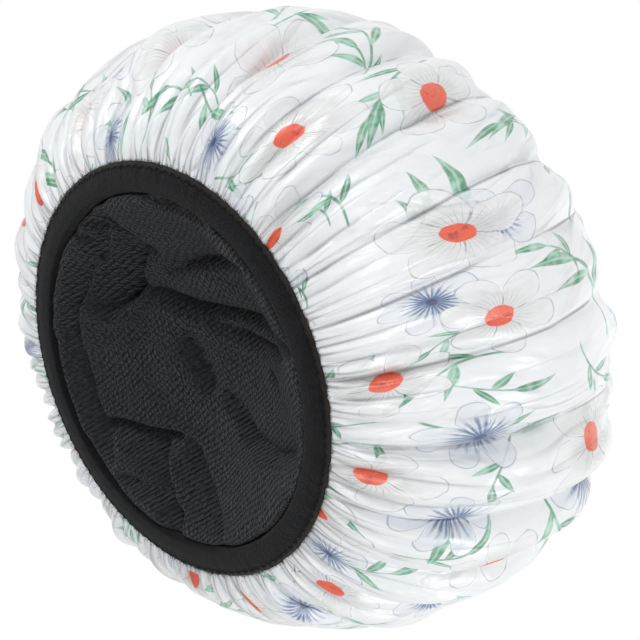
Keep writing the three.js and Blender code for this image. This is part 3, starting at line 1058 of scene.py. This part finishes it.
def clear_of_hem(radius, height):
    """Lifts the lining off the binding, or draws it into the mouth, whichever is nearer."""
    edge = MOUTH_RADIUS - 0.0005
    cone = np.clip((radius - MOUTH_RADIUS - CONE_START) / (HEM_WIDTH - CONE_START), 0, 1) ** CONE_CURVE
    top = 0.0066 + CONE_RISE * cone
    inward, upward = radius - edge, top - height
    touches = (inward > 0) & (upward > 0)
    return np.where(touches & (inward <= upward), edge, radius), np.where(touches & (inward > upward), top, height)


def round_off(curve, even):
    """Smooths a curve. It runs on past its first end, and past its last, the middle of the dome, as a mirror image
    that is even or odd."""
    past = ROUNDING // 2
    last = curve[-2 : -2 - past : -1]
    run = np.concatenate([2 * curve[0] - curve[past:0:-1], curve, last if even else -last])
    return np.convolve(run, np.hanning(ROUNDING) / np.hanning(ROUNDING).sum(), "valid")


def slack_lining(settings):
    """The terry's middle surface: from the hem's channel it slumps over the binding, hangs into the mouth and rises
    as a low dome, with the creases it falls into. Returns its points, and each ring's radius on the flat disc."""
    rng = np.random.default_rng(SEED + 2)
    foot = LINING_RIM[-1][1]
    outline = list(LINING_RIM) + [(r, foot + share * (1000 * settings.depth - foot)) for r, share in LINING_DOME]
    outline = np.array(outline) / 1000
    length = run_length(*outline.T)
    dense = np.linspace(0, length[-1], 601)
    radius = round_off(np.interp(dense, length, outline[:, 0]), even=False)
    height = round_off(np.interp(dense, length, outline[:, 1]), even=True)
    along = ring_places(length[-1], np.linspace(0, 1, LINING_RINGS))
    ring_radius, ring_height = np.interp(along, dense, radius), np.interp(along, dense, height)
    theta = bearings(LINING_AROUND)
    s = np.clip(along - CHANNEL_REACH, 0, None)[:-1, None]
    # Tucks where the terry is sewn in, and an uneven hang inside the mouth.
    tucks = 0.0007 * smooth_noise(rng, theta, 16, 26)[None] * np.clip(s / 0.005, 0, 1) * np.exp(-s / 0.030)
    full = ring_radius[:-1, None] + (tucks + 0.0008 * np.cos(60 * theta)[None] * tuck(along))
    hang = 0.0005 * smooth_noise(rng, theta, 3, 9)[None] * np.exp(-(((s - 0.027) / 0.010) ** 2))
    inner = np.clip((s - 0.0235) / 0.010, 0, 1)
    inner = inner * inner * (3 - 2 * inner)
    level = ring_height[:-1, None] + hang + sag(full * np.cos(theta), full * np.sin(theta)) * inner
    level = np.maximum(level, np.where(s > 0.02, 0.0004, 0.0))
    kept, lifted = clear_of_hem(full, level)
    beyond = s > 0.006
    full, level = np.where(beyond, kept, full), np.where(beyond, lifted, level)
    middle = np.zeros(1)
    points = close_rings(full, level, theta, ring_height[-1] + float(sag(middle, middle)[0]))
    return points, length[-1] - along[:-1]


class SHOWERCAP_OT_lining(bpy.types.Operator):
    """Makes the slack terry lining"""

    bl_idname = "showercap.lining"
    bl_label = "Make Lining"

    def execute(self, context):
        settings = context.scene.showercap_lining
        points, flat = slack_lining(settings)
        points, flat = refine(points, flat, LINING_AROUND)
        obj = disc_mesh("terry_lining", points, flat, 2 * LINING_AROUND)
        set_material(obj, terry_material(settings))
        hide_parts("lining")
        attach(obj, "root")
        across = 2 * (flat[0] + CUT_MARGIN)
        math.pi * (across / 2) ** 2
        return {"FINISHED"}


# The hem
# -------

# The free edge's round, the heights of the fold's top and of its channel, and where the channel ends.
EDGE_DEPTH, EDGE_STEPS = 0.0021, 10
FOLD_TOP, CHANNEL_TOP, CHANNEL_FLOOR, CHANNEL_END = 0.0059, 0.0050, 0.0009, 0.0030
# Places round the hem, and how much knit lies between them.
HEM_AROUND, HEM_STEP = 540, 0.0011


def hem_section():
    """The binding's section: distance outward from the free edge, and height, in metres. It is closed and runs
    round the fold, over the top, into the channel and back along the underside."""

    def coned(base, *places):
        reach = [max(0.0, (u - CONE_START) / (HEM_WIDTH - CONE_START)) ** CONE_CURVE for u in places]
        return [(u, base + CONE_RISE * share) for u, share in zip(places, reach)]

    section = []
    for k in range(EDGE_STEPS + 1):
        a = -math.pi / 2 - math.pi * k / EDGE_STEPS
        flatter = math.copysign(abs(math.sin(a)) ** 0.5, math.sin(a))
        section.append((EDGE_DEPTH - EDGE_DEPTH * abs(math.cos(a)) ** 0.8, FOLD_TOP / 2 + FOLD_TOP / 2 * flatter))
    inner = HEM_WIDTH - 0.0003
    return [
        *section,
        *coned(FOLD_TOP, 0.0052, 0.0075, 0.0100, 0.0122),
        (HEM_WIDTH, 0.0054 + CONE_RISE),
        (inner, CHANNEL_TOP + CONE_RISE),
        *coned(CHANNEL_TOP, 0.0100, 0.0060),
        (CHANNEL_END, 0.0045),
        (CHANNEL_END, 0.0014),
        *coned(CHANNEL_FLOOR, 0.0060, 0.0100),
        (inner, 0.0010 + CONE_RISE),
        (HEM_WIDTH, 0.0006 + CONE_RISE),
        *coned(0.0, 0.0122, 0.0112, 0.0100, 0.0086, 0.0072, 0.0060, 0.0048),
    ]


class SHOWERCAP_OT_hem(bpy.types.Operator):
    """Folds the knit binding round the hem"""

    bl_idname = "showercap.hem"
    bl_label = "Make Hem"

    def execute(self, context):
        settings = context.scene.showercap_hem
        rng = np.random.default_rng(SEED + 3)
        theta = bearings(HEM_AROUND)
        # Crosswise creases where the elastic draws the knit together, and an uneven outer edge.
        pull = 0.00016 * smooth_noise(rng, theta, 60, 60) + 0.00010 * smooth_noise(rng, theta, 10, 30)
        edge = 0.00022 * smooth_noise(rng, theta, 24, 40)
        u, v = np.array(hem_section()).T
        out = np.maximum(0.0, (u - 0.004) / HEM_WIDTH)
        radius = MOUTH_RADIUS + u + edge[:, None] * out
        drawn = pull[:, None]
        height = v + np.maximum(0.0, drawn) * (v > 0.003) + np.abs(drawn) * 1.6 * out * (v < 0.003)
        points = np.stack([radius * np.cos(theta)[:, None], radius * np.sin(theta)[:, None], height], -1)

        sides = len(u)
        arc = run_length(np.append(u, u[0]), np.append(v, v[0]))
        faces, uvs = [], []
        for j in range(HEM_AROUND):
            k = (j + 1) % HEM_AROUND
            low, high = j * HEM_STEP, (j + 1) * HEM_STEP
            for i in range(sides):
                n = (i + 1) % sides
                faces.append((j * sides + i, j * sides + n, k * sides + n, k * sides + i))
                uvs += [(low, arc[i]), (low, arc[i + 1]), (high, arc[i + 1]), (high, arc[i])]
        obj = new_mesh("hem_binding", points.reshape(-1, 3), faces, corner_uvs=uvs)
        set_material(obj, knit_material(settings))
        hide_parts("hem_band")
        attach(obj, "root")
        return {"FINISHED"}


def run_tree(name, tree, values):
    """A plain mesh object made by a geometry node tree, with inputs set by their identifiers."""
    obj = link(name, bpy.data.meshes.new(name))
    modifier = obj.modifiers.new("Geometry", "NODES")
    modifier.node_group = tree
    for item in tree.interface.items_tree:
        if item.item_type == "SOCKET" and item.in_out == "INPUT" and item.name in values:
            modifier[item.identifier] = values[item.name]
    return apply_modifiers(obj)


def places_on_ring(net, count, radius, angle, height):
    """Points on a circle, each at its own bearing."""
    line = net.out("GeometryNodeMeshLine", inputs=dict(count=count), mode="OFFSET")
    position = net.join(radius * net.cosine(angle), radius * net.sine(angle), height)
    return net.out("GeometryNodeSetPosition", inputs=dict(geometry=line, position=position))


def lay_copies(net, out, material, **inputs):
    """Puts out a copy of the instance on each point, as one real mesh in its material."""
    copies = net.out("GeometryNodeInstanceOnPoints", inputs=inputs)
    real = net.out("GeometryNodeRealizeInstances", inputs=dict(geometry=copies))
    net.fill(out, geometry=net.out("GeometryNodeSetMaterial", inputs=dict(geometry=real, material=material)))


def zigzag_tree():
    """Zigzag stitches round a circle on the hem's underside: short thread capsules from edge to edge of the run."""
    tree, net, given, out = new_tree(
        "zigzag topstitch",
        {"Radius": 0.09, "Height": 0.001, "Stitches": 250, "Reach": 0.0009, "Thread": 0.0005, "Thread Material": None},
        {"Geometry": "Geometry"},
        "GeometryNodeTree",
    )
    radius, count, across = given["Radius"], given["Stitches"], given["Reach"] * 2.0
    index = net.out("GeometryNodeInputIndex")
    step = 2 * math.pi / count
    angle = (index + 0.5) * step
    # Each stitch is a bar that leans the other way from the one before it.
    pitch = radius * step
    lean = (net.math("MODULO", index, 2.0) * 2.0 - 1.0) * net.math("ARCTAN2", across, pitch)
    half = net.math("SQRT", pitch * pitch + across**2.0) * 0.5
    bar = dict(
        resolution=6,
        start=net.join(half * -1.0, 0.0, 0.0003),
        start_handle=net.join(half * -0.6, 0.0, -0.0001),
        end_handle=net.join(half * 0.6, 0.0, -0.0001),
        end=net.join(half, 0.0, 0.0003),
    )
    bar = net.out("GeometryNodeCurvePrimitiveBezierSegment", inputs=bar)
    inputs = dict(resolution=6, radius=given["Thread"] * 0.5)
    ring = net.out("GeometryNodeCurvePrimitiveCircle", inputs=inputs, mode="RADIUS")
    lay_copies(
        net,
        out,
        given["Thread Material"],
        points=places_on_ring(net, count, radius, angle, given["Height"]),
        instance=net.out("GeometryNodeCurveToMesh", inputs=dict(curve=bar, profile_curve=ring, fill_caps=True)),
        rotation=net.join(0.0, 0.0, angle + math.pi / 2 + lean),
    )
    return tree


def fibre_tree():
    """Short loose fibres that stand out of the binding's outer edge at random angles."""
    tree, net, given, out = new_tree(
        "edge fibres",
        {"Radius": 0.092, "Height": 0.002, "Fibres": 4000, "Length": 0.002, "Spread": 0.0008, "Seed": 3,
         "Fibre Material": None},
        {"Geometry": "Geometry"},
        "GeometryNodeTree",
    )

    def chance(low, high, salt):
        node = net.node("FunctionNodeRandomValue", dict(seed=given["Seed"] + float(salt)), data_type="FLOAT")
        net.put_all(node.inputs[2:4], low, high)
        return Value(net, node.outputs[1])

    spread = given["Spread"]
    angle = chance(0.0, 2 * math.pi, 1)
    radius = given["Radius"] + chance(-1.0, 0.3, 2) * spread
    height = given["Height"] + chance(-0.6, 1.0, 3) * spread
    cone = dict(vertices=3, side_segments=2, radius_top=0.00003, radius_bottom=0.00009, depth=1.0)
    lay_copies(
        net,
        out,
        given["Fibre Material"],
        points=places_on_ring(net, given["Fibres"], radius, angle, height),
        instance=net.out("GeometryNodeMeshCone", inputs=cone, fill_type="NONE"),
        rotation=net.join(chance(-0.9, 0.9, 4), chance(-0.75, 0.75, 5) + math.pi / 2, angle + chance(-0.9, 0.9, 6)),
        scale=net.join(1.0, 1.0, given["Length"] * chance(0.35, 1.0, 7)),
    )
    return tree


class SHOWERCAP_OT_seams(bpy.types.Operator):
    """Sews the topstitch, raises the loose fibres, and dresses the elastic and the inner threads"""

    bl_idname = "showercap.seams"
    bl_label = "Make Seams"

    def execute(self, context):
        settings = context.scene.showercap_hem
        thread, fibre = thread_material(), fibre_material()
        place = HEM_RADIUS - 0.0022
        values = {
            "Radius": place,
            "Height": 0.00136,
            "Stitches": 2 * round(2 * math.pi * place / settings.stitch_pitch),
            "Reach": 0.0009,
            "Thread": 0.0004,
            "Thread Material": thread,
        }
        topstitch = run_tree("topstitch", zigzag_tree(), values)
        set_material(topstitch, thread)
        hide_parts("hem_topstitch")
        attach(topstitch, "root")
        values = {
            "Radius": HEM_RADIUS - 0.0002,
            "Height": 0.0028,
            "Fibres": settings.fibres,
            "Length": settings.fibre_length,
            "Spread": 0.0011,
            "Seed": SEED,
            "Fibre Material": fibre,
        }
        fibres = run_tree("edge_fibres", fibre_tree(), values)
        set_material(fibres, fibre)
        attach(fibres, "root")
        for node, material in (("elastic", elastic_material()), ("lap_stitches", thread), ("edge_seam_thread", thread)):
            set_material(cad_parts[node], material)
        return {"FINISHED"}


# The stage
# ---------

# The way from the cap's middle to the camera, the camera's turn, and how far the cap lies off the picture's middle,
# all as in the photograph.
CAMERA_WAY, CAMERA_UP = Vector((0.6345, -0.3955, -0.6640)), Vector((-0.2733, -0.9185, 0.2859))
CAMERA_MIDDLE, OFF_RIGHT, OFF_UP = Vector((0, 0, 0.095)), 0.00177, 0.00441
LAMP_MIDDLE = Vector((0, 0, 0.08))
FLOOR_REACH, FLOOR_LEVEL = 4.0, -0.0004


def camera_axes(back, up):
    """The camera's right and up for the way that it looks back along."""
    right = up.cross(back).normalized()
    return right, back.cross(right)


def place_camera(settings):
    """The camera looks up into the mouth from below and to one side. Returns its axes."""
    back = CAMERA_WAY.normalized()
    right, up = camera_axes(back, CAMERA_UP)
    place = CAMERA_MIDDLE + back * settings.distance
    back = (place - (CAMERA_MIDDLE - right * OFF_RIGHT - up * OFF_UP)).normalized()
    right, up = camera_axes(back, up)
    data = bpy.data.cameras.new("camera")
    data.sensor_width = 36
    data.lens = settings.lens
    data.clip_start, data.clip_end = 0.01, 50
    camera = link("camera", data)
    camera.matrix_world = Matrix([*zip(right, up, back, place), (0, 0, 0, 1)])
    bpy.context.scene.camera = camera
    return right, up, back


def add_lamp(name, direction, distance, size, power):
    """A soft square lamp that faces the cap."""
    data = bpy.data.lights.new(name, "AREA")
    data.size = size
    data.energy = power
    lamp = link(name, data)
    away = direction.normalized()
    lamp.location = LAMP_MIDDLE + away * distance
    lamp.rotation_euler = away.to_track_quat("Z", "Y").to_euler()


def floor_material(settings):
    """A plain pale floor. It is opaque from above and clear from below, so the cap's mouth can be looked into, and
    lamps on either side reach the cap."""
    material, net, shader = new_material("pale floor")
    net.fill(shader, base_color=settings.floor, roughness=0.9, specular_ior_level=0.1)
    ray = net.node("ShaderNodeLightPath").outputs
    behind = net.out("ShaderNodeNewGeometry", "Backfacing")
    clear = net.most(behind, ray["Is Shadow Ray"], ray["Is Diffuse Ray"])
    output = next(node for node in net.tree.nodes if node.type == "OUTPUT_MATERIAL")
    net.fill(output, surface=net.blend(clear, shader.outputs[0], net.out("ShaderNodeBsdfTransparent")))
    return material


def white_world():
    """A world that shows white to the camera, in gloss and through clear film, and gives a plain soft fill."""
    world = bpy.data.worlds.new("studio")
    world.use_nodes = True
    world.node_tree.nodes.clear()
    net = Net(world.node_tree)
    ray = net.node("ShaderNodeLightPath").outputs
    seen = net.most(ray["Is Camera Ray"], ray["Is Glossy Ray"], ray["Is Transmission Ray"])
    fill = net.out("ShaderNodeBackground", inputs=dict(color=(0.98, 0.99, 1.0), strength=0.70))
    white = net.out("ShaderNodeBackground", inputs=dict(color=(1, 1, 1), strength=1.0))
    net.node("ShaderNodeOutputWorld", dict(surface=net.blend(seen, fill, white)))
    bpy.context.scene.world = world


class SHOWERCAP_OT_stage(bpy.types.Operator):
    """Sets the floor, the lamps, the world and the camera"""

    bl_idname = "showercap.stage"
    bl_label = "Make Stage"

    def execute(self, context):
        settings = context.scene.showercap_stage
        right, up, back = place_camera(settings)
        add_lamp("key", up * 0.75 + back * 0.60 - right * 0.35, 1.3, 0.5, 5.5)
        add_lamp("front", back * 1.0 - right * 0.10 - up * 0.50, 1.3, 0.5, 2.2)
        add_lamp("side", right * 0.80 + back * 0.45 - up * 0.75, 1.3, 0.5, 4.0)
        add_lamp("top", Vector((0.15, 0.25, 1.0)), 1.4, 1.2, 2.0)
        corners = [(FLOOR_REACH * x, FLOOR_REACH * y, FLOOR_LEVEL) for x, y in ((-1, -1), (1, -1), (1, 1), (-1, 1))]
        floor = new_mesh("floor", corners, [(0, 1, 2, 3)], smooth=False)
        set_material(floor, floor_material(settings))
        white_world()
        context.scene.view_settings.view_transform = "Standard"
        return {"FINISHED"}


# Panel and registration
# ----------------------


class SHOWERCAP_PT_panel(bpy.types.Panel):
    """Lists the cap's settings and the operators that make its pieces"""

    bl_idname = "SHOWERCAP_PT_panel"
    bl_label = "Shower Cap"
    bl_space_type = "VIEW_3D"
    bl_region_type = "UI"
    bl_category = "Shower Cap"

    def draw(self, context):
        for name, _, operators in PARTS:
            box = self.layout.box()
            box.label(text=name.title())
            settings = getattr(context.scene, f"showercap_{name}")
            for key in settings.bl_rna.properties.keys():
                if key not in {"rna_type", "name"}:
                    box.prop(settings, key)
            for operator in operators:
                box.operator(operator.bl_idname)


# Each part's name, its settings and its operators.
PARTS = (
    ("shell", SHOWERCAP_PG_shell, (SHOWERCAP_OT_shell, SHOWERCAP_OT_film)),
    ("lining", SHOWERCAP_PG_lining, (SHOWERCAP_OT_lining,)),
    ("hem", SHOWERCAP_PG_hem, (SHOWERCAP_OT_hem, SHOWERCAP_OT_seams)),
    ("stage", SHOWERCAP_PG_stage, (SHOWERCAP_OT_stage,)),
)
CLASSES = (*(cls for _, settings, operators in PARTS for cls in (settings, *operators)), SHOWERCAP_PT_panel)


def register():
    for cls in CLASSES:
        bpy.utils.register_class(cls)
    for name, settings, _ in PARTS:
        setattr(bpy.types.Scene, f"showercap_{name}", PointerProperty(type=settings))


def unregister():
    for name, _, _ in PARTS:
        delattr(bpy.types.Scene, f"showercap_{name}")
    for cls in reversed(CLASSES):
        bpy.utils.unregister_class(cls)


def main():
    register()
    bpy.ops.showercap.stage()
    bpy.ops.showercap.hem()
    bpy.ops.showercap.shell()
    bpy.ops.showercap.film()
    bpy.ops.showercap.lining()
    bpy.ops.showercap.seams()


if __name__ == "__main__":
    main()
